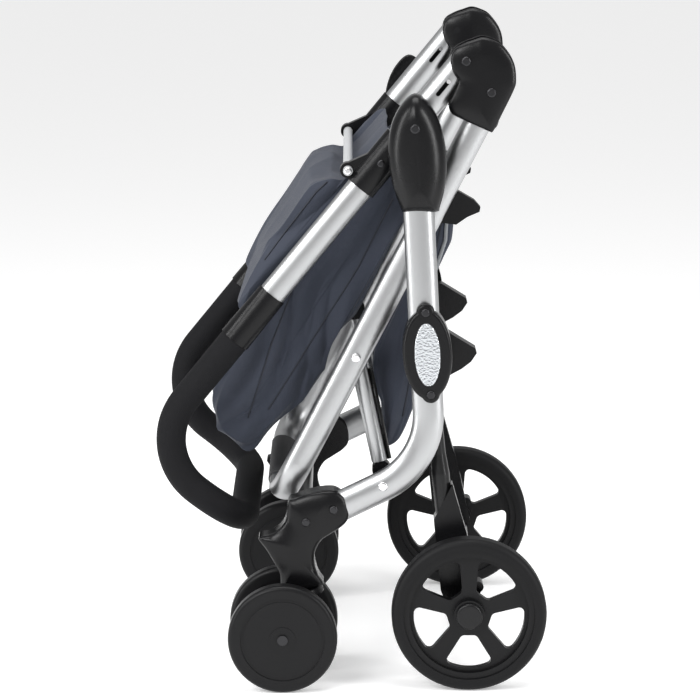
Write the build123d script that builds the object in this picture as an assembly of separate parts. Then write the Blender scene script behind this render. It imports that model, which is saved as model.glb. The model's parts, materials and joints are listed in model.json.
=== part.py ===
from build123d import *
import os
from math import atan2, cos, degrees, hypot, radians, sin

os.makedirs("parts", exist_ok=True)

# A pet stroller, folded and standing on its wheels.
# +X is forward, +Y is the stroller's left, +Z is up, and the ground is z = 0.
# Side-view points are (x, z) in millimetres. Headings are degrees up from +X.

# Pivots, as side-view points
HANDLE_PIVOT = (-73.8, 653.3)  # handle to front tube
KNUCKLE_PIVOT = (-132.5, 726.5)  # handle to seat tube
SEAT_LINK_PIVOT = (-7.0, 380.8)  # fold link to seat tube
FRAME_LINK_PIVOT = (-38.2, 236.0)  # fold link to front tube
LEG_PIVOT = (-90.0, 391.0)  # rear leg to front tube
REAR_AXLE = (-138.0, 90.0)
CASTER_AXLE = (78.0, 63.5)

# Planes of the side frames, as distances from the middle plane
FRONT_TUBE_Y = 220.0
SIDE_TUBE_Y = 185.0
LINK_Y = 160.0
LEG_Y = 196.0
REAR_WHEEL_Y = 250.0
CASTER_Y = 217.0
CASTER_SPACING = 46.0

# Tube sections: depth in the side view, width across the stroller
FRONT_TUBE = (36.0, 22.0)
SEAT_TUBE = (32.0, 22.0)
SLOTTED_TUBE = (32.7, 22.0)
HANDLE_TUBE = (31.5, 21.0)
TUBE_WALL = 1.8
LINK_DIAMETER = 19.0
LEG_DIAMETER = 21.0
LEG_TOP_DIAMETER = 17.0
FOAM_DIAMETER = 34.5
CORE_DIAMETER = 22.0
CROSS_BAR_DIAMETER = 11.0

# Front tube: nearly upright, then bent forward into the fork
FRONT_TUBE_TOP = 672.0
FRONT_TUBE_HEADING = -92.9
FRONT_TUBE_CORNER = (-93.6, 260.9)
FRONT_TUBE_BEND = 94.0
FRONT_TUBE_END = (22.0, 204.6)

# Handle: straight from the knuckle, then bent back under itself into the grip
HANDLE_HEADING = -50.75
LOCK_PIN_AT = 31.0  # along the handle from the knuckle, clear of its edge
LOCK_SLOT = (28.3, 50.0)
LOCK_SLOT_WIDTH = 5.1
LOCK_PIN_RADIUS = 2.5
SLEEVE_AT = (118.0, 191.0)
SLEEVE_RIVET_AT = 153.0
CROSS_BAR_AT = (184.0, 24.0)
CROSS_BAR_HALF = 196.0
FERRULE_AT = (352.0, 421.0)
GRIP_CORNER_AT = 591.0
GRIP_CROSS = (125.0, 180.0)
GRIP_BEND = 76.0
GRIP_CROSS_BEND = 62.0

# Seat tube: straight from the knuckle to the footrest
SEAT_TUBE_HEADING = -62.6
SEAT_TUBE_TOP = (-172.5, 703.5)
FOOTREST_AXIS = (80.6, 213.0)
FOOTREST_BEND = 45.0
FOOTREST_SLEEVE_HALF = 103.0

# Wheels
REAR_WHEEL_RADIUS = 90.0
REAR_TYRE_WIDTH = 30.0
REAR_RIM_RADIUS = 76.0
CASTER_RADIUS = 63.5
CASTER_WIDTH = 22.0
AXLE_RADIUS = 5.0
CASTER_TILT = 16.5
CASTER_AXIS_POINT = (66.0, 134.0)
NECK_HEIGHT = 39.3  # fork neck's lower face, above the caster axle's foot on the swivel axis

# Fits
PIN_RADIUS = 4.0
RUNNING = 0.05
GAP = 0.2
RIVET_HEAD = 5.6


def at(point, y):
    """A side-view point placed on the plane of constant y."""
    return Vector(point[0], y, point[1])


def heading(start, end):
    """The heading from one side-view point to another."""
    return degrees(atan2(end[1] - start[1], end[0] - start[0]))


def distance(start, end):
    return hypot(end[0] - start[0], end[1] - start[1])


def along(start, angle, length, offset=0.0):
    """A point at a length along a heading from start, offset to the left of that heading."""
    a = radians(angle)
    return (
        start[0] + length * cos(a) - offset * sin(a),
        start[1] + length * sin(a) + offset * cos(a),
    )


def on_handle(length, offset=0.0):
    """A side-view point on the handle, counted from the knuckle pivot."""
    return along(KNUCKLE_PIVOT, HANDLE_HEADING, length, offset)


def side_plane(y):
    return Plane(origin=(0, y, 0), x_dir=(1, 0, 0), z_dir=(0, -1, 0))


def slab(face, y_low, y_high):
    """A side-view face as thick as the space between two planes of constant y."""
    return extrude(side_plane(y_high) * face, amount=y_high - y_low)


def outline(*points):
    return make_face(Polyline(*points, close=True))


def rounded(radius, *points):
    """A polygon in the side view with its corners rounded."""
    return fillet(outline(*points).vertices(), radius)


def disc(point, radius):
    return Pos(point[0], point[1]) * Circle(radius)


def strip(start, end, width):
    """A side-view face with round ends, from one point to another."""
    middle = ((start[0] + end[0]) / 2, (start[1] + end[1]) / 2)
    slot = SlotCenterToCenter(distance(start, end), width)
    return Pos(*middle) * Rot(0, 0, heading(start, end)) * slot


def y_pin(point, radius, y_low, y_high):
    return slab(disc(point, radius), y_low, y_high)


def rivet(point, y_face, shank, head=RIVET_HEAD, shank_radius=3.0):
    """A domed rivet with its head outside y_face and its shank running inward."""
    body = y_pin(point, head, y_face, y_face + 2.8)
    body = fillet(body.faces().sort_by(Axis.Y)[-1].edges(), 2.2)
    return body + y_pin(point, shank_radius, y_face - shank, y_face)


def oval_bar(start, end, y, section, grow=0.0):
    """A solid oval bar between two side-view points."""
    run = at(end, y) - at(start, y)
    plane = Plane(origin=at(start, y), x_dir=(0, 1, 0), z_dir=run)
    oval = Ellipse(section[1] / 2 + grow, section[0] / 2 + grow)
    return extrude(plane * oval, amount=run.length)


def oval_tube(start, end, y, section):
    return oval_bar(start, end, y, section) - oval_bar(start, end, y, section, -TUBE_WALL)


def swept_bar(path, start, run, section, grow=0.0):
    """A solid oval bar along a path that starts in the side plane."""
    plane = Plane(origin=start, x_dir=(0, 1, 0), z_dir=run)
    oval = Ellipse(section[1] / 2 + grow, section[0] / 2 + grow)
    return sweep(plane * oval, path=path)


def round_bar(path, radius):
    return sweep((path ^ 0) * Circle(radius), path=path)


def round_edges(body, y_face, radius):
    """Round the edge all along the face of a slab that lies on the plane of constant y."""
    face = body.faces().sort_by(lambda f: abs(f.center().Y - y_face))[0]
    return fillet(face.edges(), radius)


def other_side(body):
    return mirror(body, about=Plane.XZ)


nodes = {}


def add_pair(name, left):
    """Two nodes, one for each side of the stroller."""
    nodes[name + "_left"] = left
    nodes[name + "_right"] = other_side(left)


def add_both(name, *left):
    """One node that holds the same separate solids on both sides."""
    solids = [solid for body in left for solid in body.solids()]
    nodes[name] = Compound(children=solids + [other_side(s) for s in solids])


# ---- Front frame ----


def front_tube_bar(grow=0.0):
    top = along(HANDLE_PIVOT, FRONT_TUBE_HEADING, HANDLE_PIVOT[1] - FRONT_TUBE_TOP)
    corners = [at(p, FRONT_TUBE_Y) for p in (top, FRONT_TUBE_CORNER, FRONT_TUBE_END)]
    path = FilletPolyline(*corners, radius=FRONT_TUBE_BEND)
    return swept_bar(path, corners[0], corners[1] - corners[0], FRONT_TUBE, grow)


front_tube_space = front_tube_bar(GAP)
link_pin_hole = y_pin(FRAME_LINK_PIVOT, PIN_RADIUS + GAP, 150, 240)
leg_pin_hole = y_pin(LEG_PIVOT, PIN_RADIUS + GAP, 150, 240)
handle_pin_hole = y_pin(HANDLE_PIVOT, PIN_RADIUS + GAP, 200, 260)
front_tube = front_tube_bar() - front_tube_bar(-TUBE_WALL)
front_tube = front_tube - link_pin_hole - leg_pin_hole - handle_pin_hole
add_pair("front_tube", front_tube)

# Swivel axis of the caster: up and forward through the fork's neck
tilt = radians(CASTER_TILT)
swivel_up = (sin(tilt), cos(tilt))
swivel_out = (cos(tilt), -sin(tilt))
to_axle = (CASTER_AXLE[0] - CASTER_AXIS_POINT[0], CASTER_AXLE[1] - CASTER_AXIS_POINT[1])
drop = to_axle[0] * swivel_up[0] + to_axle[1] * swivel_up[1]
SWIVEL_FOOT = (
    CASTER_AXIS_POINT[0] + drop * swivel_up[0],
    CASTER_AXIS_POINT[1] + drop * swivel_up[1],
)


def on_swivel(up, out=0.0):
    """A side-view point up the swivel axis from its foot, and out in front of it."""
    return (
        SWIVEL_FOOT[0] + up * swivel_up[0] + out * swivel_out[0],
        SWIVEL_FOOT[1] + up * swivel_up[1] + out * swivel_out[1],
    )


def swivel_cylinder(radius, low, high):
    """A cylinder round the swivel axis between two heights on it."""
    base = at(on_swivel(low), CASTER_Y)
    plane = Plane(origin=base, x_dir=(0, 1, 0), z_dir=(swivel_up[0], 0, swivel_up[1]))
    return extrude(plane * Circle(radius), amount=high - low)


FORK_Y = (198.6, 237.0)
STEM_RADIUS = 6.0
STEM_TOP = 80.0


def fork_housing():
    """Nylon casting that joins the front tube to the caster, with a saddle for the footrest."""
    saddle_top = (71.4, 216.4)
    crown = Spline(saddle_top, (58.1, 222.5), (38.1, 228.6), (16.2, 229.3))
    end_face = Spline(crown @ 1, (4.5, 219.5), (1.5, 204.7), (3.5, 194.0))
    heel = on_swivel(NECK_HEIGHT, -28.0)
    throat = Spline(end_face @ 1, (19.4, 181.6), (33.5, 171.3), (41.6, 155.0), (38.6, 130.0), heel)
    toe = on_swivel(NECK_HEIGHT, 24.0)
    base = Line(heel, toe)
    tip = (106.6, 174.0)
    shin = Spline(toe, (81.2, 129.0), (87.8, 144.0), (95.6, 160.0), tip)
    saddle = Spline(tip, (93.9, 177.2), (82.5, 184.0), (74.5, 196.0), saddle_top)
    face = make_face([crown, end_face, throat, base, shin, saddle])
    body = slab(face, *FORK_Y)
    body = body - front_tube_space - link_pin_hole
    body = body - swivel_cylinder(STEM_RADIUS + RUNNING, NECK_HEIGHT - 1, STEM_TOP + 1)
    for point in ((19.0, 209.4), (51.0, 194.6)):
        body = body - y_pin(point, 3.2, *FORK_Y)
    return body


add_pair("fork_housing", fork_housing())

front_cross = y_pin((57.0, 178.0), 11.0, -FORK_Y[0] + GAP, FORK_Y[0] - GAP)
front_cross = front_cross - y_pin((57.0, 178.0), 9.2, -FORK_Y[0], FORK_Y[0])
nodes["front_cross_tube"] = front_cross

COVER_Y = (209.2, 241.0)


def pivot_cover():
    """Egg-shaped cover over the top of the front tube and the handle pivot."""
    face = rounded(
        9.0,
        (-78.0, 694.0),
        (-64.0, 689.0),
        (-43.5, 646.0),
        (-43.5, 610.0),
        (-58.0, 555.0),
        (-101.0, 555.0),
        (-112.0, 607.0),
        (-106.0, 652.0),
    )
    body = round_edges(slab(face, *COVER_Y), COVER_Y[1], 5.0)
    return body - front_tube_space - handle_pin_hole


add_pair("pivot_cover", pivot_cover())

REFLECTOR_CENTRE = (-89.0, 392.5)
REFLECTOR_LEAN = 3.0
LENS_HALF = (15.1, 37.0)
REFLECTOR_TABS = ((-86.4, 441.5), (-93.0, 346.0))


def reflector_oval(half_width, half_height):
    oval = Rot(0, 0, -REFLECTOR_LEAN) * Ellipse(half_width, half_height)
    return Pos(*REFLECTOR_CENTRE) * oval


def reflector_housing():
    """Oval housing round the front tube at the rear leg's pivot, with a pocket for the lens."""
    face = reflector_oval(28.5, 53.0)
    for tab in REFLECTOR_TABS:
        face = face + disc(tab, 10.5)
    body = round_edges(slab(face, *COVER_Y), COVER_Y[1], 4.0)
    pocket = slab(reflector_oval(LENS_HALF[0] + GAP, LENS_HALF[1] + GAP), 236.0, 245.0)
    for tab in REFLECTOR_TABS:
        body = body - y_pin(tab, 3.2, 231.0, 245.0)
    return body - pocket - front_tube_space - leg_pin_hole


add_both("reflector_housings", reflector_housing())

lens = slab(reflector_oval(*LENS_HALF), 236.2, 242.6)
add_both("reflector_lenses", round_edges(lens, 242.6, 2.0))

frame_rivets = [
    rivet(FRAME_LINK_PIVOT, 231.3, 83.3, shank_radius=PIN_RADIUS),
    rivet(HANDLE_PIVOT, 241.3, 31.9, shank_radius=PIN_RADIUS),
    y_pin(LEG_PIVOT, PIN_RADIUS, 182.0, 235.5),
]
for point in ((19.0, 209.4), (51.0, 194.6)):
    frame_rivets.append(rivet(point, FORK_Y[1] + 0.1, 6.0, head=5.0))
for point in REFLECTOR_TABS:
    frame_rivets.append(rivet(point, COVER_Y[1] + 0.1, 8.0, head=5.0))
add_both("frame_rivets", *frame_rivets)

link_spacer = y_pin(FRAME_LINK_PIVOT, 9.0, 171.0, 208.8)
link_spacer = link_spacer - y_pin(FRAME_LINK_PIVOT, PIN_RADIUS + GAP, 170.0, 210.0)
add_both("link_spacers", link_spacer)

# ---- Fold links ----

LINK_HEADING = heading(FRAME_LINK_PIVOT, SEAT_LINK_PIVOT)
LINK_LENGTH = distance(FRAME_LINK_PIVOT, SEAT_LINK_PIVOT)
LINK_TUBE = (LINK_DIAMETER, LINK_DIAMETER)
link_low = along(FRAME_LINK_PIVOT, LINK_HEADING, 16.0)
link_high = along(FRAME_LINK_PIVOT, LINK_HEADING, LINK_LENGTH - 16.0)
add_pair("fold_link", oval_tube(link_low, link_high, LINK_Y, LINK_TUBE))


def link_cap(pivot, tube_end):
    """Plastic eye pressed into the end of a fold link."""
    body = slab(strip(pivot, along(pivot, heading(pivot, tube_end), 6.0), 22.0), 151.0, 169.0)
    body = body - oval_bar(tube_end, along(tube_end, heading(pivot, tube_end), 30), LINK_Y, LINK_TUBE, GAP)
    plug_end = along(tube_end, heading(pivot, tube_end), 18.0)
    plug = oval_bar(tube_end, plug_end, LINK_Y, LINK_TUBE, -TUBE_WALL - GAP)
    return body + plug - y_pin(pivot, PIN_RADIUS + RUNNING, 150, 170)


add_both("link_caps", link_cap(FRAME_LINK_PIVOT, link_low), link_cap(SEAT_LINK_PIVOT, link_high))

# ---- Seat frame ----

SEAT_PIN_FACE = 196.3
SEAT_RIVET = (-161.5, 690.5)
HOUSING_Y = (164.0, 205.3)
CHEEK_INNER = (173.3, 196.7)
DISC_RADIUS = 17.2
FOLD_SWING = 161.2


def seat_tube_bar(grow=0.0):
    """Half of the seat tube, from the knuckle to the middle of the footrest."""
    corners = [
        at(SEAT_TUBE_TOP, SIDE_TUBE_Y),
        at(FOOTREST_AXIS, SIDE_TUBE_Y),
        at(FOOTREST_AXIS, 0.25),
    ]
    path = FilletPolyline(*corners, radius=FOOTREST_BEND)
    return swept_bar(path, corners[0], corners[1] - corners[0], SEAT_TUBE, grow)


knuckle_hole = y_pin(KNUCKLE_PIVOT, PIN_RADIUS + GAP, 160, 210)
seat_rivet_hole = y_pin(SEAT_RIVET, 3.2, 160, 210)
seat_link_hole = y_pin(SEAT_LINK_PIVOT, PIN_RADIUS + GAP, 160, 210)
seat_tube = seat_tube_bar() - seat_tube_bar(-TUBE_WALL)
seat_tube = seat_tube - seat_rivet_hole - seat_link_hole
add_pair("seat_tube", seat_tube)


def knuckle_outline():
    lobe = rounded(
        6.0,
        (-138.0, 748.0),
        (-151.0, 753.5),
        (-173.0, 745.5),
        (-189.5, 721.0),
        (-190.5, 704.0),
        (-187.5, 692.0),
        (-163.5, 643.5),
        (-115.0, 666.0),
        (-111.5, 676.0),
        (-128.0, 708.0),
    )
    return lobe + disc(KNUCKLE_PIVOT, DISC_RADIUS)


def handle_swing(half_width):
    """Side-view space that the handle's end sweeps inside the knuckle."""
    space = disc(KNUCKLE_PIVOT, half_width)
    reach = 110.0
    headings = [HANDLE_HEADING, HANDLE_HEADING + FOLD_SWING]
    for angle in headings:
        space = space + strip(KNUCKLE_PIVOT, along(KNUCKLE_PIVOT, angle, reach), 2 * half_width)
    step = FOLD_SWING / 4
    fan = [along(KNUCKLE_PIVOT, HANDLE_HEADING + i * step, reach) for i in range(5)]
    return space + outline(KNUCKLE_PIVOT, *fan)


def knuckle_housing():
    """Two cheeks round the handle's end, joined behind it, on top of the seat tube."""
    body = slab(knuckle_outline(), *HOUSING_Y)
    body = round_edges(body, HOUSING_Y[1], 2.5)
    body = body - slab(handle_swing(SLOTTED_TUBE[0] / 2 + 0.8), *CHEEK_INNER)
    return body - seat_tube_bar(GAP) - knuckle_hole - seat_rivet_hole


add_pair("knuckle_housing", knuckle_housing())

knuckle_pin = rivet(KNUCKLE_PIVOT, HOUSING_Y[1] + 0.1, 41.0, shank_radius=PIN_RADIUS)
link_pin = rivet(SEAT_LINK_PIVOT, SEAT_PIN_FACE, 46.3, shank_radius=PIN_RADIUS)
add_both("seat_pins", knuckle_pin, link_pin, rivet(SEAT_RIVET, HOUSING_Y[1] + 0.1, 41.0))

sleeve_plane = Plane(
    origin=at(FOOTREST_AXIS, -FOOTREST_SLEEVE_HALF),
    x_dir=(cos(radians(SEAT_TUBE_HEADING)), 0, sin(radians(SEAT_TUBE_HEADING))),
    z_dir=(0, 1, 0),
)
sleeve_oval = Ellipse(SEAT_TUBE[1] / 2 + 1.8, SEAT_TUBE[0] / 2 + 1.8)
footrest_sleeve = extrude(sleeve_plane * sleeve_oval, amount=2 * FOOTREST_SLEEVE_HALF)
sleeve_bore = sleeve_plane * Ellipse(SEAT_TUBE[1] / 2 + GAP, SEAT_TUBE[0] / 2 + GAP)
nodes["footrest_sleeve"] = footrest_sleeve - extrude(sleeve_bore, amount=2 * FOOTREST_SLEEVE_HALF)

bumper = slab(
    outline(
        (-100.0, 588.0),
        (-125.0, 573.0),
        (-144.0, 562.0),
        (-151.0, 554.0),
        (-150.0, 548.5),
        (-136.0, 542.5),
        (-123.0, 533.5),
        (-86.0, 538.0),
    ),
    160.0,
    173.6,
)
add_both("seat_bumpers", bumper)

CABIN_HALF = 147.0
cabin = slab(
    outline(
        on_handle(130, -6),
        on_handle(235, -5),
        on_handle(330, -4),
        on_handle(430, -6),
        on_handle(505, -24),
        (163.0, 287.0),
        (148.0, 270.0),
        (118.0, 257.0),
        (91.0, 280.0),
        (45.0, 330.0),
        (2.0, 400.0),
        (-52.0, 500.0),
        (-78.0, 565.0),
    ),
    -CABIN_HALF,
    CABIN_HALF,
)
nodes["cabin"] = fillet(cabin.edges().filter_by(Axis.Y), 6.0)

# ---- Handle ----

SLOTTED_END = 188.0
handle_end = on_handle(-SLOTTED_TUBE[0] / 2)


def slotted_tube():
    """Upper handle tube, rounded at the knuckle and slotted for the lock pin."""
    body = oval_tube(handle_end, on_handle(SLOTTED_END), SIDE_TUBE_Y, SLOTTED_TUBE)
    body = body & slab(strip(KNUCKLE_PIVOT, on_handle(SLOTTED_END + 40), SLOTTED_TUBE[0]), 160, 210)
    slot_ends = [on_handle(LOCK_SLOT[0] + LOCK_SLOT_WIDTH / 2), on_handle(LOCK_SLOT[1])]
    body = body - slab(strip(*slot_ends, LOCK_SLOT_WIDTH), 160, 210)
    return body - knuckle_hole - y_pin(on_handle(SLEEVE_RIVET_AT), 3.2, 160, 210)


add_pair("slotted_tube", slotted_tube())

plug = oval_bar(handle_end, on_handle(22.0), SIDE_TUBE_Y, SLOTTED_TUBE, -TUBE_WALL - GAP)
plug = plug & slab(strip(KNUCKLE_PIVOT, on_handle(60), SLOTTED_TUBE[0] - 1.0), 160, 210)
add_both("handle_plugs", plug - y_pin(KNUCKLE_PIVOT, PIN_RADIUS + RUNNING, 160, 210))

BAR_POINT = on_handle(*CROSS_BAR_AT)
SLEEVE_SECTION = (SLOTTED_TUBE[0] + 5.0, SLOTTED_TUBE[1] + 5.0)


def handle_sleeve():
    """Moulded joint between the two handle tubes, with an ear for the cross bar."""
    body = oval_bar(on_handle(SLEEVE_AT[0]), on_handle(SLEEVE_AT[1]), SIDE_TUBE_Y, SLEEVE_SECTION)
    ear = outline(on_handle(118, 0), on_handle(190, 0), on_handle(191, 26), on_handle(176, 29))
    ear = ear + disc(BAR_POINT, 9.0)
    body = body + slab(ear, 176.0, 190.0)
    body = body - oval_bar(on_handle(110), on_handle(SLOTTED_END + 0.2), SIDE_TUBE_Y, SLOTTED_TUBE, GAP)
    body = body - oval_bar(on_handle(150), on_handle(200), SIDE_TUBE_Y, HANDLE_TUBE, GAP)
    body = body - y_pin(BAR_POINT, CROSS_BAR_DIAMETER / 2 + GAP, 170, 200)
    return body - y_pin(on_handle(SLEEVE_RIVET_AT), 3.2, 160, 210)


add_both("handle_sleeves", handle_sleeve())

cross_bar = y_pin(BAR_POINT, CROSS_BAR_DIAMETER / 2, -CROSS_BAR_HALF, CROSS_BAR_HALF)
nodes["cross_bar"] = cross_bar - y_pin(BAR_POINT, 2.2, -CROSS_BAR_HALF, CROSS_BAR_HALF)

bar_screw = rivet(BAR_POINT, CROSS_BAR_HALF + 0.1, 14.0, head=4.6, shank_radius=2.0)
sleeve_rivet = rivet(on_handle(SLEEVE_RIVET_AT), 198.7, 26.0, head=4.6)
add_both("handle_screws", bar_screw, sleeve_rivet)

pivot_washer = y_pin(HANDLE_PIVOT, 13.0, 196.2, 208.3) - y_pin(HANDLE_PIVOT, 4.5, 190, 210)
add_both("pivot_washers", pivot_washer)

add_pair(
    "handle_tube",
    oval_tube(on_handle(SLOTTED_END + 1.0), on_handle(FERRULE_AT[0] + 26), SIDE_TUBE_Y, HANDLE_TUBE),
)


def ferrule():
    """Tapered collar between the oval handle tube and the foam grip."""
    start = Plane(
        origin=at(on_handle(FERRULE_AT[0]), SIDE_TUBE_Y),
        x_dir=(0, 1, 0),
        z_dir=at(on_handle(1), 0) - at(on_handle(0), 0),
    )
    length = FERRULE_AT[1] - FERRULE_AT[0]
    narrow = start * Ellipse(HANDLE_TUBE[1] / 2 + 2.2, HANDLE_TUBE[0] / 2 + 1.8)
    wide = start.offset(length) * Ellipse(FOAM_DIAMETER / 2 + 0.4, FOAM_DIAMETER / 2 + 1.4)
    body = loft([narrow, wide])
    body = body - oval_bar(on_handle(340), on_handle(FERRULE_AT[0] + 26.2), SIDE_TUBE_Y, HANDLE_TUBE, GAP)
    core = (CORE_DIAMETER, CORE_DIAMETER)
    return body - oval_bar(on_handle(370), on_handle(430), SIDE_TUBE_Y, core, GAP)


add_both("grip_ferrules", ferrule())

GRIP_CORNER = on_handle(GRIP_CORNER_AT)


def grip_path(start_at, y_end):
    """Centre line of the grip, from the ferrule round to the middle of the cross part."""
    corners = [
        at(on_handle(start_at), SIDE_TUBE_Y),
        at(GRIP_CORNER, SIDE_TUBE_Y),
        at(GRIP_CROSS, SIDE_TUBE_Y),
        at(GRIP_CROSS, y_end),
    ]
    return FilletPolyline(*corners, radius=[GRIP_BEND, GRIP_CROSS_BEND])


core_half = round_bar(grip_path(FERRULE_AT[0] + 27.0, 0.0), CORE_DIAMETER / 2)
core_half = core_half - round_bar(grip_path(FERRULE_AT[0] + 27.0, 0.0), CORE_DIAMETER / 2 - TUBE_WALL)
nodes["grip_core"] = core_half + other_side(core_half)

foam = round_bar(grip_path(FERRULE_AT[1] + 0.3, 0.1), FOAM_DIAMETER / 2)
foam = foam - round_bar(grip_path(FERRULE_AT[1] + 0.3, 0.1), CORE_DIAMETER / 2 + GAP)
add_pair("foam_grip", foam)

CANOPY_HALF = 158.0
canopy_outline = outline(
    on_handle(126, 2),
    on_handle(402, 2),
    on_handle(404, 18),
    on_handle(392, 26),
    on_handle(342, 39),
    on_handle(290, 45),
    on_handle(240, 51),
    on_handle(222, 49),
    on_handle(206, 36),
    on_handle(196, 18),
    on_handle(126, 16),
)
canopy = slab(canopy_outline, -CANOPY_HALF, CANOPY_HALF)
nodes["canopy"] = fillet(canopy.edges().filter_by(Axis.Y), 4.0)


def lock_pin():
    """Spring pin that slides in the slot; nothing on the knuckle catches it."""
    point = on_handle(LOCK_PIN_AT)
    return y_pin(point, LOCK_PIN_RADIUS, 172.6, 198.6)


add_pair("lock_pin", lock_pin())

# ---- Rear legs ----

LEG_HEADING = heading(LEG_PIVOT, (-121.9, 90.0))
LEG_CRIMP = (124.0, 148.0)
LEG_END = 291.0


def on_leg(length, offset=0.0):
    return along(LEG_PIVOT, LEG_HEADING, length, offset)


def leg_bar(grow=0.0):
    """The rear leg as a solid: narrow above the crimp and full size below it."""
    top = (LEG_TOP_DIAMETER, LEG_TOP_DIAMETER)
    full = (LEG_DIAMETER, LEG_DIAMETER)
    body = oval_bar(on_leg(8), on_leg(LEG_CRIMP[0]), LEG_Y, top, grow)
    body = body + oval_bar(on_leg(LEG_CRIMP[1]), on_leg(LEG_END), LEG_Y, full, grow)
    run = at(on_leg(1), 0) - at(on_leg(0), 0)
    start = Plane(origin=at(on_leg(LEG_CRIMP[0]), LEG_Y), x_dir=(0, 1, 0), z_dir=run)
    end = start.offset(LEG_CRIMP[1] - LEG_CRIMP[0])
    cone = loft([start * Circle(top[0] / 2 + grow), end * Circle(full[0] / 2 + grow)])
    return body + cone


leg_pin_fit = y_pin(LEG_PIVOT, PIN_RADIUS + RUNNING, 150, 240)
leg = leg_bar() - leg_bar(-TUBE_WALL)
add_pair("rear_leg", leg - y_pin(LEG_PIVOT, PIN_RADIUS + GAP, 150, 240))


def leg_bracket():
    """Pivot bracket at the top of the leg, with a heel that stops the leg's swing."""
    eye = strip(LEG_PIVOT, on_leg(30), 32.0)
    body = slab(eye, 183.0, 207.6)
    heel = outline(
        (-88.0, 407.0),
        (-105.0, 407.5),
        (-115.0, 408.5),
        (-146.0, 389.5),
        (-147.5, 384.0),
        (-141.0, 374.0),
        (-130.0, 365.5),
        (-115.5, 357.5),
        (-92.0, 372.0),
    )
    body = body + slab(heel, 162.0, 184.0)
    return body - leg_bar(GAP) - leg_pin_fit


add_both("leg_brackets", leg_bracket())


def axle_bracket():
    """Gusset from the lower end of the leg back to the axle."""
    face = outline(
        on_leg(LEG_END - 6, 14),
        on_leg(200, 13.5),
        on_leg(160, -12.5),
        (-129.5, 197.0),
        (-137.0, 172.0),
        (-153.0, 100.0),
        (-150.0, 78.0),
        (-138.0, 73.0),
        (-118.0, 76.0),
    )
    body = slab(face, 184.0, 207.6)
    return body - leg_bar(GAP) - y_pin(REAR_AXLE, AXLE_RADIUS + 6 + GAP, 180, 210)


add_both("axle_brackets", axle_bracket())

AXLE_SHOULDER = 231.0
rear_axle = y_pin(REAR_AXLE, AXLE_RADIUS + 6, -AXLE_SHOULDER, AXLE_SHOULDER)
nodes["rear_axle"] = rear_axle + y_pin(REAR_AXLE, AXLE_RADIUS, -262.0, 262.0)


def brake_lever():
    """Brake lever on the axle, inside the wheel, with a toe knob up and behind."""
    knob = (REAR_AXLE[0] - 11.0, REAR_AXLE[1] + 26.0)
    face = disc(REAR_AXLE, 16.5) + strip(REAR_AXLE, knob, 13.0)
    body = slab(face, 209.0, 222.0)
    body = body + y_pin(knob, 6.5, 208.5, 231.0)
    return body - y_pin(REAR_AXLE, AXLE_RADIUS + 6 + RUNNING, 200, 240)


add_pair("brake_lever", brake_lever())

# ---- Wheels ----


def wheel_place(point, y):
    """Turns a wheel made round +Z so that its outer face looks along +Y."""
    return Pos(point[0], y, point[1]) * Rot(-90, 0, 0)


def ring(outer, inner, width):
    return Cylinder(outer, width) - Cylinder(inner, width + 1)


def rear_rim():
    """Moulded wheel with five windows, one of them straight down."""
    hub = Cylinder(18.0, 30.0)
    web = Cylinder(REAR_RIM_RADIUS - 1, 11.0)
    band = ring(REAR_RIM_RADIUS, REAR_RIM_RADIUS - 7, 24.0)
    body = hub + web + band
    left, top, right = (-28.0, 57.0), (0.0, 64.5), (28.0, 57.0)
    sides = Polyline(right, (8.5, 25.5), (-8.5, 25.5), left)
    window = fillet(make_face([ThreePointArc(left, top, right), sides]).vertices(), 6.0)
    for i in range(5):
        body = body - extrude(Rot(0, 0, 72 * i) * window, amount=20, both=True)
    return body - Cylinder(AXLE_RADIUS + RUNNING, 40)


def rear_tyre():
    body = ring(REAR_WHEEL_RADIUS, REAR_RIM_RADIUS + 0.05, REAR_TYRE_WIDTH)
    outer = body.edges().filter_by(GeomType.CIRCLE).group_by(lambda e: round(e.radius, 2))[-1]
    return fillet(outer, 8.0)


def hub_cap():
    cap = Pos(0, 0, 15.2 + 2.5) * Cylinder(15.5, 5.0)
    cap = fillet(cap.faces().sort_by(Axis.Z)[-1].edges(), 3.5)
    return cap - Pos(0, 0, 10) * Cylinder(AXLE_RADIUS + 0.5, 12)


rear_place = wheel_place(REAR_AXLE, REAR_WHEEL_Y)
add_pair("rear_rim", rear_place * rear_rim())
add_pair("rear_tyre", rear_place * rear_tyre())
add_pair("hub_cap", rear_place * hub_cap())


def caster_wheel():
    """Small solid wheel with a shallow ring in its side and a raised middle."""
    body = Cylinder(CASTER_RADIUS, CASTER_WIDTH)
    rims = body.edges().filter_by(GeomType.CIRCLE)
    body = fillet(rims, 5.5)
    for side in (-1, 1):
        face = Pos(0, 0, side * CASTER_WIDTH / 2)
        body = body - face * (Cylinder(49.0, 3.0) - Cylinder(45.0, 4.0))
        body = body - face * (Cylinder(45.1, 1.6) - Cylinder(15.0, 2.0))
    return body - Cylinder(PIN_RADIUS + RUNNING, 40)


for side_name, offset in (("outer", CASTER_SPACING), ("inner", -CASTER_SPACING)):
    wheel = wheel_place(CASTER_AXLE, CASTER_Y + offset) * caster_wheel()
    add_pair("caster_wheel_" + side_name, wheel)


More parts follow.
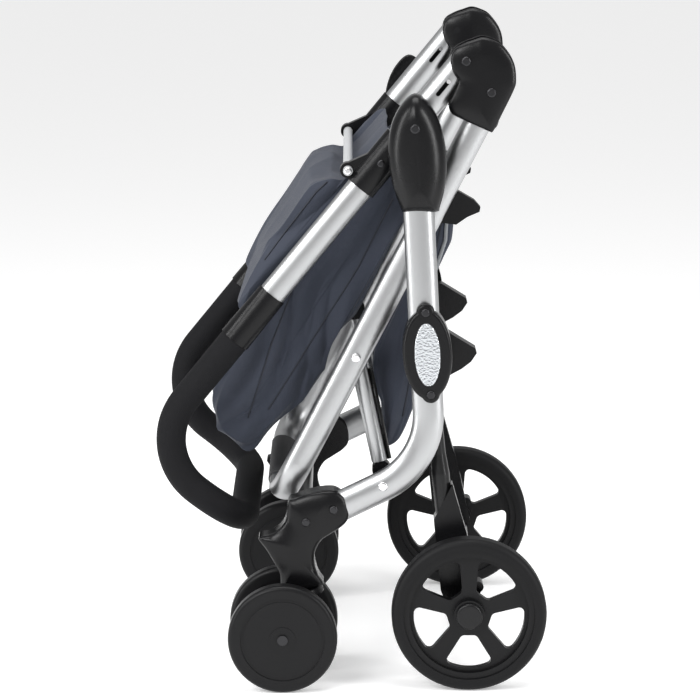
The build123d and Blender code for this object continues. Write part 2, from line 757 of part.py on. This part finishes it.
def caster_yoke():
    """Swivelling block between the twin wheels, with its stem up into the fork's neck."""
    collar = swivel_cylinder(27.0, NECK_HEIGHT - 9.0, NECK_HEIGHT - 0.5)
    stem = swivel_cylinder(STEM_RADIUS, NECK_HEIGHT - 2.0, STEM_TOP)
    hub = disc(CASTER_AXLE, 17.0)
    shoulders = [on_swivel(NECK_HEIGHT - 8.5, -24.0), on_swivel(NECK_HEIGHT - 8.5, 24.0)]
    belly = on_swivel(6.0, -6.0)
    wedge = outline(*shoulders, along(CASTER_AXLE, 20, 17.0), CASTER_AXLE, along(CASTER_AXLE, 230, 17.0), belly)
    body = slab(hub + wedge, CASTER_Y - 22, CASTER_Y + 22)
    return body + collar + stem - y_pin(CASTER_AXLE, PIN_RADIUS + GAP, 150, 280)


add_pair("caster_yoke", caster_yoke())

reach = CASTER_SPACING + CASTER_WIDTH / 2
caster_axle = y_pin(CASTER_AXLE, PIN_RADIUS, CASTER_Y - reach - 1, CASTER_Y + reach + 1)
for y_end in (CASTER_Y - reach - 2.7, CASTER_Y + reach + 0.4):
    caster_axle += y_pin(CASTER_AXLE, 6.0, y_end, y_end + 2.3)
add_pair("caster_axle", caster_axle)

# ---- Basket ----

BASKET_HALF = 145.0
basket = slab(
    outline(
        (-114.0, 556.0),
        (-124.0, 545.0),
        (-123.5, 511.0),
        (-115.0, 492.0),
        (-106.0, 470.0),
        (-99.0, 420.0),
        (-90.0, 345.0),
        (-71.0, 286.0),
        (-54.0, 264.0),
        (-38.0, 264.0),
        (-33.0, 310.0),
        (-26.0, 388.0),
    ),
    -BASKET_HALF,
    BASKET_HALF,
)
nodes["basket"] = fillet(basket.edges().filter_by(Axis.Y), 4.0)

for name, shape in nodes.items():
    export_step(shape, "parts/" + name + ".step")
    print(name, len(shape.solids()), round(shape.volume / 1000, 1))
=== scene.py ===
import json
import math

import bpy
import numpy as np
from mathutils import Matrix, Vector, noise
from mathutils.bvhtree import BVHTree


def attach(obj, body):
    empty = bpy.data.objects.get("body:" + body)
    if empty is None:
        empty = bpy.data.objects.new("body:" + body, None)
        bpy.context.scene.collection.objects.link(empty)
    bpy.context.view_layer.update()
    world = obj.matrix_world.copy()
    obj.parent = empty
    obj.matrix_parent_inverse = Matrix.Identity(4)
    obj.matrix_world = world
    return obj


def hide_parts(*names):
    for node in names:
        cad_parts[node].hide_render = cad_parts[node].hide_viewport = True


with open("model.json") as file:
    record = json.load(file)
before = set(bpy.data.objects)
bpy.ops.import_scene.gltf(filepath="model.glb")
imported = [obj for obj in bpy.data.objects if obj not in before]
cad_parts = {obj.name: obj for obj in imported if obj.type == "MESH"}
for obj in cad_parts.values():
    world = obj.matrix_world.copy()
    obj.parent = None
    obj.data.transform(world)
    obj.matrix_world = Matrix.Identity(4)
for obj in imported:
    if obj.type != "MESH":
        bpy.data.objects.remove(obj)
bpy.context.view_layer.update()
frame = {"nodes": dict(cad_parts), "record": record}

# Side-view points are (x, z) in millimetres; everything in the scene is in metres.
HANDLE_TOP = (-132.5, 726.5)
HANDLE_HEADING = math.radians(-50.75)
CAMERA_AT = (0.0, 4.357, 1.162)
CAMERA_PITCH = 10.51
CAMERA_LENS = 187.7
CAMERA_SENSOR = 36.0


# ---- Materials ----

COAT_ROUGHNESS = 0.25
SHEEN_ROUGHNESS = 0.5
MOTTLE_SCALE = 14.0
MOTTLE_DETAIL = 6.0
BUMP_HEIGHT = 0.0006


def material(name, color, rough, metal=0.0, bumps=(), coat=0.0, sheen=0.0, mottle=0.0, specular=0.5):
    """A principled material. Each bump is (kind, scale, strength, stretch)."""
    mat = bpy.data.materials.new(name)
    mat.use_nodes = True
    tree = mat.node_tree
    shader = tree.nodes["Principled BSDF"]
    shader.inputs["Base Color"].default_value = (*color, 1.0)
    shader.inputs["Roughness"].default_value = rough
    shader.inputs["Metallic"].default_value = metal
    shader.inputs["Specular IOR Level"].default_value = specular
    shader.inputs["Coat Weight"].default_value = coat
    shader.inputs["Coat Roughness"].default_value = COAT_ROUGHNESS
    shader.inputs["Sheen Weight"].default_value = sheen
    shader.inputs["Sheen Roughness"].default_value = SHEEN_ROUGHNESS
    coords = tree.nodes.new("ShaderNodeTexCoord")
    if mottle:
        patches = tree.nodes.new("ShaderNodeTexNoise")
        patches.inputs["Scale"].default_value = MOTTLE_SCALE
        patches.inputs["Detail"].default_value = MOTTLE_DETAIL
        spread = tree.nodes.new("ShaderNodeMapRange")
        spread.inputs["To Min"].default_value = rough - mottle
        spread.inputs["To Max"].default_value = rough + mottle
        tree.links.new(coords.outputs["Object"], patches.inputs["Vector"])
        tree.links.new(patches.outputs["Fac"], spread.inputs["Value"])
        tree.links.new(spread.outputs["Result"], shader.inputs["Roughness"])
    normal = None
    for kind, scale, strength, stretch in bumps:
        mapping = tree.nodes.new("ShaderNodeMapping")
        mapping.inputs["Scale"].default_value = stretch
        tree.links.new(coords.outputs["Object"], mapping.inputs["Vector"])
        texture = tree.nodes.new("ShaderNodeTex" + kind)
        texture.inputs["Scale"].default_value = scale
        tree.links.new(mapping.outputs["Vector"], texture.inputs["Vector"])
        output = "Distance" if kind == "Voronoi" else "Fac"
        bump = tree.nodes.new("ShaderNodeBump")
        bump.inputs["Strength"].default_value = strength
        bump.inputs["Distance"].default_value = BUMP_HEIGHT
        tree.links.new(texture.outputs[output], bump.inputs["Height"])
        if normal:
            tree.links.new(normal, bump.inputs["Normal"])
        normal = bump.outputs["Normal"]
    if normal:
        tree.links.new(normal, shader.inputs["Normal"])
    return mat


# How a bump pattern is stretched: alike all ways, or drawn out along Z like brushed metal.
EVEN = (1.0, 1.0, 1.0)
GRAIN = (1.0, 1.0, 0.05)
LOOKS = {
    "satin_tube": material(
        "satin_tube", (0.40, 0.405, 0.41), 0.34, 1.0, [("Noise", 900.0, 0.12, GRAIN)], mottle=0.06
    ),
    "black_casting": material(
        "black_casting",
        (0.004, 0.004, 0.0045),
        0.26,
        bumps=[("Noise", 1500.0, 0.10, EVEN)],
        mottle=0.05,
        specular=0.2,
    ),
    "reflector": material(
        "reflector",
        (0.50, 0.52, 0.54),
        0.18,
        0.8,
        [("Voronoi", 420.0, 1.0, EVEN), ("Noise", 160.0, 0.6, EVEN)],
    ),
    "rivet_steel": material("rivet_steel", (0.75, 0.75, 0.76), 0.14, 1.0),
    "black_tube": material(
        "black_tube",
        (0.006, 0.006, 0.0065),
        0.28,
        bumps=[("Noise", 700.0, 0.08, EVEN)],
        mottle=0.05,
        specular=0.25,
    ),
    "grey_bar": material("grey_bar", (0.52, 0.53, 0.54), 0.35, 0.3, mottle=0.05),
    "foam": material(
        "foam",
        (0.007, 0.007, 0.008),
        0.75,
        bumps=[("Noise", 900.0, 0.9, EVEN), ("Noise", 60.0, 0.5, EVEN)],
        specular=0.12,
    ),
    "fabric": material(
        "fabric",
        (0.030, 0.035, 0.050),
        0.80,
        bumps=[("Noise", 1600.0, 0.6, EVEN), ("Noise", 90.0, 1.0, EVEN), ("Noise", 28.0, 1.0, EVEN)],
        sheen=0.08,
        specular=0.25,
    ),
    "tyre": material(
        "tyre",
        (0.006, 0.006, 0.0065),
        0.5,
        bumps=[("Noise", 600.0, 0.3, EVEN)],
        mottle=0.08,
        specular=0.15,
    ),
    "wheel_plastic": material(
        "wheel_plastic",
        (0.006, 0.006, 0.0065),
        0.36,
        bumps=[("Noise", 1200.0, 0.15, EVEN)],
        mottle=0.06,
        specular=0.17,
    ),
    "hub": material("hub", (0.005, 0.005, 0.0055), 0.3, specular=0.25),
    "footrest_grip": material(
        "footrest_grip", (0.05, 0.05, 0.052), 0.75, bumps=[("Noise", 800.0, 0.5, EVEN)]
    ),
}
PIPING = material("piping", (0.20, 0.21, 0.22), 0.6, bumps=[("Noise", 1500.0, 0.4, EVEN)])
THREAD = material("thread", (0.016, 0.018, 0.025), 0.9)
DARK_STEEL = material("dark_steel", (0.03, 0.03, 0.032), 0.25, 0.8)
# Black fill for the handle's slot: painted shade, standing for the dark hollow inside the tube.
SLOT_SHADE = material("slot_shade", (0.004, 0.004, 0.004), 0.7, specular=0.1)

for item in frame["record"]["subparts"]:
    surface = frame["nodes"][item["node"]].data
    surface.materials.clear()
    surface.materials.append(LOOKS[item["material_slot"]])

# Rivets are bright on the bare tubes and black on the moulded parts.
BRIGHT_RIVETS = ((-38.2, 236.0), (-7.0, 380.8), (3.0, 599.8))
RIVET_REACH = 9
for rivets in ("frame_rivets", "seat_pins", "handle_screws", "caster_axle_left", "caster_axle_right"):
    surface = frame["nodes"][rivets].data
    surface.materials.append(DARK_STEEL)
    for polygon in surface.polygons:
        x, z = polygon.center.x * 1000, polygon.center.z * 1000
        bright = any(math.hypot(x - p[0], z - p[1]) < RIVET_REACH for p in BRIGHT_RIVETS)
        polygon.material_index = 0 if bright else 1


# ---- Meshes ----

LOOP_STEPS = 24  # samples of a smooth loop from one of its points to the next
LINE_STEPS = 14  # samples of a laid line from one of its points to the next

# A moulded piece: its dome stops short of a quarter turn (radians), so that the top keeps a face.
DOME_ARC = 1.5
DOME_STEPS = 18
DOME_SPINE = 0.55
BACK_EASE = 0.04

# A piece of cloth: rows of points over the middle and over each side face, which bulges SIDE_BEND mm.
MIDDLE_ROWS = 60
SIDE_ROWS = 44
SIDE_BEND = 9.0
SIDE_RELIEF = 1.3
CLOTH_SPINE = 0.75
MOST_INWARD = 0.995
SIDE_ONSET = 5

# The folds' noise: sharp ridges, with finer creases on top.
RIDGE = 2.4
RIDGE_SHARE = 0.8
FINE_SHARE = 0.35
MIDDLE_LEVEL = 0.9
SIDE_LEVEL = 0.8


def add_mesh(name, vertices, faces, look, body):
    data = bpy.data.meshes.new(name)
    data.from_pydata([tuple(v) for v in vertices], [], faces)
    data.validate()
    data.polygons.foreach_set("use_smooth", [True] * len(data.polygons))
    data.materials.append(look)
    obj = bpy.data.objects.new(name, data)
    bpy.context.scene.collection.objects.link(obj)
    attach(obj, body)
    return obj


def smooth_loop(points, count):
    """A closed smooth curve through side-view points, evenly sampled, in metres."""
    p = np.array(points, float) / 1000
    n = len(p)
    samples = []
    for i in range(n):
        a, b, c, d = p[i - 1], p[i], p[(i + 1) % n], p[(i + 2) % n]
        for t in np.linspace(0, 1, LOOP_STEPS, endpoint=False):
            square = (2 * a - 5 * b + 4 * c - d) * t**2
            cube = (3 * b - a - 3 * c + d) * t**3
            samples.append(0.5 * (2 * b + (c - a) * t + square + cube))
    q = np.array(samples + [samples[0]])
    steps = np.concatenate([[0], np.cumsum(np.linalg.norm(np.diff(q, axis=0), axis=1))])
    at = np.linspace(0, steps[-1], count, endpoint=False)
    return np.stack([np.interp(at, steps, q[:, 0]), np.interp(at, steps, q[:, 1])], 1)


def grid_faces(rows, count):
    """Quads between rows of a closed loop, with both ends closed."""
    faces = []
    for r in range(rows - 1):
        for i in range(count):
            j = (i + 1) % count
            faces.append((r * count + i, r * count + j, (r + 1) * count + j, (r + 1) * count + i))
    faces.append(tuple(range(count - 1, -1, -1)))
    faces.append(tuple((rows - 1) * count + i for i in range(count)))
    return faces


def spine(loop, share):
    """For each point of a loop, the point on the loop's long middle line that it shrinks to."""
    centre = loop.mean(0)
    direction = np.linalg.svd(loop - centre)[2][0]
    reach = (loop - centre) @ direction
    return centre + np.outer(reach * share, direction)


def pillow(name, points, y_low, y_high, round_high, look, body, slot, side=1, count=96):
    """A moulded piece with a flat inner side and a domed outer side."""
    loop = smooth_loop(points, count)
    middle = spine(loop, DOME_SPINE)
    rows = [(y_low, BACK_EASE), (y_low, 0.0)]
    for a in np.linspace(0, DOME_ARC, DOME_STEPS):
        rows.append((y_high - round_high * (1 - math.sin(a)), 1 - math.cos(a)))
    vertices = []
    for y, inward in rows:
        for p, m in zip(loop, middle):
            x, z = p + (m - p) * inward
            vertices.append((x, side * y / 1000, z))
    faces = grid_faces(len(rows), count)
    if side > 0:
        faces = [f[::-1] for f in faces]
    return add_mesh(name, vertices, faces, look, body)


def casting(name, points, y_low, y_high, round_high, body, side=1, count=96):
    """A moulded piece in the black casting's material."""
    look = LOOKS["black_casting"]
    return pillow(name, points, y_low, y_high, round_high, look, body, "black_casting", side, count)


def tube(name, points, radius, look, body, sides=12):
    """A round tube along points in metres."""
    p = [Vector(q) for q in points]
    vertices = []
    for i, q in enumerate(p):
        run = (p[min(i + 1, len(p) - 1)] - p[max(i - 1, 0)]).normalized()
        u = run.orthogonal().normalized() if i == 0 else (u - run * u.dot(run)).normalized()
        v = run.cross(u)
        for k in range(sides):
            a = 2 * math.pi * k / sides
            vertices.append(q + (u * math.cos(a) + v * math.sin(a)) * radius)
    return add_mesh(name, vertices, [f[::-1] for f in grid_faces(len(p), sides)], look, body)


def fold_height(x, y, z, heading, pitch, seed):
    """Long soft folds that run along a heading in the side view, from -1 to 1."""
    c, s = math.cos(heading), math.sin(heading)
    run, across = x * c + z * s, -x * s + z * c
    wander = noise.noise(Vector((run * 5, across * 4, y * 4 + seed)))
    wave = noise.noise(Vector((across / pitch + wander * 1.4, run * 3.5, y * 7 + seed * 3.1)))
    fine = noise.noise(Vector((across / pitch * 2.6, run * 11, y * 16 + seed * 1.7)))
    return (1 - RIDGE * abs(wave)) * RIDGE_SHARE + fine * FINE_SHARE


def cloth(name, points, half, body, node, seed, heading, depth=0.006, pitch=0.045, count=220):
    """Folded fabric that fills the room of a solid: wrinkled all round, with soft side faces."""
    loop = smooth_loop(points, count)
    middle = spine(loop, CLOTH_SPINE)
    out = np.roll(loop, -1, 0) - np.roll(loop, 1, 0)
    out = np.stack([out[:, 1], -out[:, 0]], 1) / np.linalg.norm(out, axis=1)[:, None]
    if np.sum((loop - middle) * out) < 0:
        out = -out
    edge = half - SIDE_BEND
    inner = [(1 - t, edge + SIDE_BEND * math.sin(0.5 * math.pi * t)) for t in np.linspace(0, 1, SIDE_ROWS)]
    rows = [(1 - k, -y) for k, y in reversed(inner)]
    rows += [(0.0, y) for y in np.linspace(-edge, edge, MIDDLE_ROWS)[1:-1]]
    rows += [(1 - k, y) for k, y in inner]
    vertices = []
    for inward, y in rows:
        y = y / 1000
        for p, m, o in zip(loop, middle, out):
            x, z = p + (m - p) * min(inward, MOST_INWARD)
            h = fold_height(x, y, z, heading, pitch, seed)
            on_side = min(1.0, inward * SIDE_ONSET)
            lift = depth * (h - MIDDLE_LEVEL) * (1 - on_side)
            bulge = math.copysign(on_side * depth * SIDE_RELIEF * (h - SIDE_LEVEL), y)
            vertices.append((x + o[0] * lift, y + bulge, z + o[1] * lift))
    faces = grid_faces(len(rows), count)
    obj = add_mesh(name, vertices, faces, LOOKS["fabric"], body)
    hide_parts(node)
    return obj


def surface_line(obj, points, side, lift, least=0.125):
    """Points laid on the side face of a piece of cloth, in metres."""
    tree = BVHTree.FromObject(obj, bpy.context.evaluated_depsgraph_get())
    laid = []
    for a, b in zip(points, points[1:]):
        for t in np.linspace(0, 1, LINE_STEPS, endpoint=b == points[-1]):
            x, z = (a[0] + (b[0] - a[0]) * t) / 1000, (a[1] + (b[1] - a[1]) * t) / 1000
            hit = tree.ray_cast(Vector((x, side * 1.0, z)), Vector((0, -side, 0)))[0]
            if hit and hit.y * side > least:
                laid.append(Vector((hit.x, hit.y + side * lift, hit.z)))
    return laid


def on_handle(length, offset=0.0):
    """A side-view point counted down the handle from its top, and off to one side of it."""
    c, s = math.cos(HANDLE_HEADING), math.sin(HANDLE_HEADING)
    return (HANDLE_TOP[0] + length * c - offset * s, HANDLE_TOP[1] + length * s + offset * c)


# ---- Fabric ----

canopy_outline = [
    on_handle(132, 5),
    on_handle(200, 6),
    on_handle(280, 6),
    on_handle(350, 6),
    on_handle(398, 6),
    on_handle(400, 16),
    on_handle(390, 24),
    on_handle(342, 37),
    on_handle(290, 43),
    on_handle(240, 49),
    on_handle(222, 47),
    on_handle(205, 34),
    on_handle(193, 17),
    on_handle(160, 15),
    on_handle(132, 13),
]
cabin_outline = [
    on_handle(134, -8),
    on_handle(235, -7),
    on_handle(330, -6),
    on_handle(430, -8),
    on_handle(503, -25),
    (163.0, 289.0),
    (148.0, 270.0),
    (119.0, 257.0),
    (92.0, 280.0),
    (46.0, 329.0),
    (4.0, 398.0),
    (-50.0, 498.0),
    (-75.0, 562.0),
]
basket_outline = [
    (-112.0, 552.0),
    (-121.0, 544.0),
    (-121.0, 511.0),
    (-113.0, 492.0),
    (-104.0, 470.0),
    (-97.0, 420.0),
    (-88.0, 345.0),
    (-69.0, 288.0),
    (-53.0, 267.0),
    (-41.0, 267.0),
    (-36.0, 310.0),
    (-30.0, 385.0),
]
canopy = cloth("canopy_cloth", canopy_outline, 156.0, "handle", "canopy", 3.0, HANDLE_HEADING, 0.007, 0.045)
cabin_run = math.radians(-58)
cabin = cloth("cabin_cloth", cabin_outline, 145.0, "seat_frame", "cabin", 11.0, cabin_run, 0.011, 0.055)
basket_run = math.radians(-80)
basket = cloth("basket_cloth", basket_outline, 143.0, "front_frame", "basket", 23.0, basket_run, 0.006, 0.04)

rear_edge = [
    (-108.0, 545.0),
    (-112.5, 534.0),
    (-111.5, 511.0),
    (-104.0, 488.0),
    (-96.0, 464.0),
    (-89.0, 400.0),
]
cabin_line = [on_handle(240, -18), (60.0, 470.0), (92.0, 390.0), (120.0, 300.0)]
cabin_low_line = [(-50.0, 560.0), (-10.0, 480.0), (40.0, 400.0), (96.0, 310.0)]
SEAM_LIFT = 0.0004
SEAM_RADIUS = 0.0009
PIPING_LIFT = 0.0012
PIPING_RADIUS = 0.0022
for side, word in ((1, "left"), (-1, "right")):
    lines = {
        "canopy_seam": (canopy, "handle", [on_handle(150, 22), on_handle(230, 34), on_handle(330, 30)]),
        "cabin_seam": (cabin, "seat_frame", cabin_line),
        "cabin_low_seam": (cabin, "seat_frame", cabin_low_line),
        "basket_seam": (basket, "front_frame", [(-108.0, 536.0), (-88.0, 440.0), (-62.0, 300.0)]),
    }
    for name, (piece, body, points) in lines.items():
        laid = surface_line(piece, points, side, SEAM_LIFT)
        tube(f"{name}_{word}", laid, SEAM_RADIUS, THREAD, body, 8)
    laid = surface_line(basket, rear_edge, side, PIPING_LIFT)
    tube(f"basket_piping_{word}", laid, PIPING_RADIUS, PIPING, "front_frame")

# ---- Moulded covers ----

cover_outline = [
    (-73.5, 690.5),
    (-57.0, 676.0),
    (-46.5, 652.0),
    (-43.5, 622.0),
    (-48.5, 588.0),
    (-58.0, 560.0),
    (-62.0, 555.5),
    (-98.0, 555.5),
    (-103.0, 562.0),
    (-109.5, 590.0),
    (-110.0, 622.0),
    (-103.5, 655.0),
    (-90.0, 680.0),
]
COVER_Y = (209.4, 243.0)
COVER_ROUND = 22.0
# Where the slot's black fill sits across the handle tube (mm), and how little it is rounded. The fill is
# painted shade.
SLOT_SHADE_Y = (179.5, 190.5)
SLOT_SHADE_ROUND = 0.5
SLOT = ((16, -9), (16, 9), (64, 9), (64, -9))
STAY_Y = 0.160
STAY_FOOT = (-0.046, 0.254)
STAY_TOP = (-0.0235, 0.362)
STAY_RADIUS = 0.003
for side, word in ((1, "left"), (-1, "right")):
    cover = casting(f"pivot_shell_{word}", cover_outline, *COVER_Y, COVER_ROUND, "front_frame", side)
    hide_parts(f"pivot_cover_{word}")
    # A flat black slab inside the handle behind each slot: painted shade for the hollow tube seen through
    # the slot.
    slot_outline = [on_handle(a, b) for a, b in SLOT]
    pillow(f"slot_shade_{word}", slot_outline, *SLOT_SHADE_Y, SLOT_SHADE_ROUND, SLOT_SHADE, "handle", "black_casting", side)
    stay = [(x, side * STAY_Y, z) for x, z in (STAY_FOOT, STAY_TOP)]
    tube(f"stay_rod_{word}", stay, STAY_RADIUS, LOOKS["black_tube"], "fold_links")

knuckle_outline = [
    (-113.2, 676.5),
    (-119.5, 691.0),
    (-123.5, 703.0),
    (-117.5, 714.0),
    (-115.0, 727.0),
    (-119.0, 739.0),
    (-130.0, 746.0),
    (-141.0, 750.0),
    (-151.5, 753.0),
    (-163.0, 750.0),
    (-174.0, 743.5),
    (-187.0, 725.0),
    (-190.0, 704.0),
    (-187.0, 692.0),
    (-175.0, 667.0),
    (-164.5, 646.0),
    (-160.5, 645.0),
    (-140.0, 654.0),
    (-119.0, 664.0),
    (-115.0, 668.0),
]
web_outline = [
    (-163.5, 747.5),
    (-171.0, 743.0),
    (-184.0, 726.0),
    (-188.0, 704.0),
    (-174.0, 668.0),
    (-162.0, 647.0),
    (-120.0, 667.0),
    (-127.0, 689.0),
    (-141.0, 704.5),
    (-150.5, 712.5),
    (-153.5, 724.0),
    (-158.5, 737.0),
]
fork_outline = [
    (71.4, 216.4),
    (64.0, 220.5),
    (50.0, 225.8),
    (38.1, 228.6),
    (26.0, 230.2),
    (16.2, 229.0),
    (6.0, 221.0),
    (2.0, 207.0),
    (2.8, 196.0),
    (10.0, 187.5),
    (22.0, 179.5),
    (33.5, 171.3),
    (40.5, 158.0),
    (41.0, 144.0),
    (37.0, 130.0),
    (31.0, 120.5),
    (33.5, 117.0),
    (56.0, 110.6),
    (79.0, 104.5),
    (81.5, 108.0),
    (81.2, 129.0),
    (87.8, 144.0),
    (97.0, 160.0),
    (106.0, 172.5),
    (103.0, 175.5),
    (93.9, 177.2),
    (82.5, 184.0),
    (74.5, 196.0),
]
CHEEK_Y = (197.0, 206.4)
BACK_Y = (-173.2, -164.0)  # negative, because the back is domed towards the stroller's middle
WEB_Y = (172.9, 197.3)
FORK_Y = (198.8, 237.6)
CHEEK_ROUND = 7.5
WEB_ROUND = 1.0
FORK_ROUND = 9.0
FORK_POINTS = 160
for side, word in ((1, "left"), (-1, "right")):
    cheek = casting(f"knuckle_cheek_{word}", knuckle_outline, *CHEEK_Y, CHEEK_ROUND, "seat_frame", side)
    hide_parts(f"knuckle_housing_{word}")
    casting(f"knuckle_back_{word}", knuckle_outline, *BACK_Y, CHEEK_ROUND, "seat_frame", -side)
    casting(f"knuckle_web_{word}", web_outline, *WEB_Y, WEB_ROUND, "seat_frame", side)
    fork = casting(f"fork_shell_{word}", fork_outline, *FORK_Y, FORK_ROUND, "front_frame", side, FORK_POINTS)
    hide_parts(f"fork_housing_{word}")

# ---- Stage ----

FLOOR_SIZE = 60
FLOOR_DROP = -0.0005
FLOOR_GLOW = 0.30
SKY_LOW = (0.45, 0.45, 0.46, 1)
SKY_HIGH = (1.0, 1.0, 1.0, 1)
SKY_STRENGTH = 0.62

bpy.context.scene.view_settings.view_transform = "Standard"

bpy.ops.mesh.primitive_plane_add(size=FLOOR_SIZE, location=(0, 0, FLOOR_DROP))
floor = bpy.context.object
floor.name = "floor"
pale = material("floor", (0.90, 0.90, 0.90), 0.95, specular=0.1)
pale.node_tree.nodes["Principled BSDF"].inputs["Emission Color"].default_value = (1, 1, 1, 1)
pale.node_tree.nodes["Principled BSDF"].inputs["Emission Strength"].default_value = FLOOR_GLOW
floor.data.materials.append(pale)

world = bpy.data.worlds.new("studio")
bpy.context.scene.world = world
world.use_nodes = True
nodes, links = world.node_tree.nodes, world.node_tree.links
direction = nodes.new("ShaderNodeTexCoord")
axes = nodes.new("ShaderNodeSeparateXYZ")
links.new(direction.outputs["Generated"], axes.inputs["Vector"])
ramp = nodes.new("ShaderNodeValToRGB")
ramp.color_ramp.elements[0].position = 0.25
ramp.color_ramp.elements[0].color = SKY_LOW
ramp.color_ramp.elements[1].position = 0.8
ramp.color_ramp.elements[1].color = SKY_HIGH
rise = nodes.new("ShaderNodeMapRange")
rise.inputs["From Min"].default_value = -1.0
links.new(axes.outputs["Z"], rise.inputs["Value"])
links.new(rise.outputs["Result"], ramp.inputs["Fac"])
links.new(ramp.outputs["Color"], nodes["Background"].inputs["Color"])
nodes["Background"].inputs["Strength"].default_value = SKY_STRENGTH


def area_light(name, place, target, size, power):
    """A rectangular lamp that points at a target; sizes in metres, power in watts."""
    light = bpy.data.lights.new(name, "AREA")
    light.shape = "RECTANGLE"
    light.size, light.size_y = size
    light.energy = power
    obj = bpy.data.objects.new(name, light)
    bpy.context.scene.collection.objects.link(obj)
    obj.location = place
    obj.rotation_euler = (Vector(target) - Vector(place)).to_track_quat("-Z", "Y").to_euler()


area_light("key", (1.3, 2.2, 2.0), (0, 0, 0.35), (1.2, 1.2), 45)
area_light("strip_left", (1.7, 0.9, 0.9), (0, 0, 0.4), (0.25, 1.6), 18)
area_light("strip_right", (-1.8, 1.2, 1.0), (0, 0, 0.4), (0.3, 1.6), 24)
area_light("top", (0, 0.2, 2.4), (0, 0, 0.3), (1.6, 1.0), 30)

camera = bpy.data.objects.new("camera", bpy.data.cameras.new("camera"))
bpy.context.scene.collection.objects.link(camera)
camera.data.sensor_width = CAMERA_SENSOR
camera.data.lens = CAMERA_LENS
camera.data.clip_end = 50.0
camera.location = CAMERA_AT
camera.rotation_euler = (math.radians(90 - CAMERA_PITCH), 0, math.radians(180))
bpy.context.scene.camera = camera
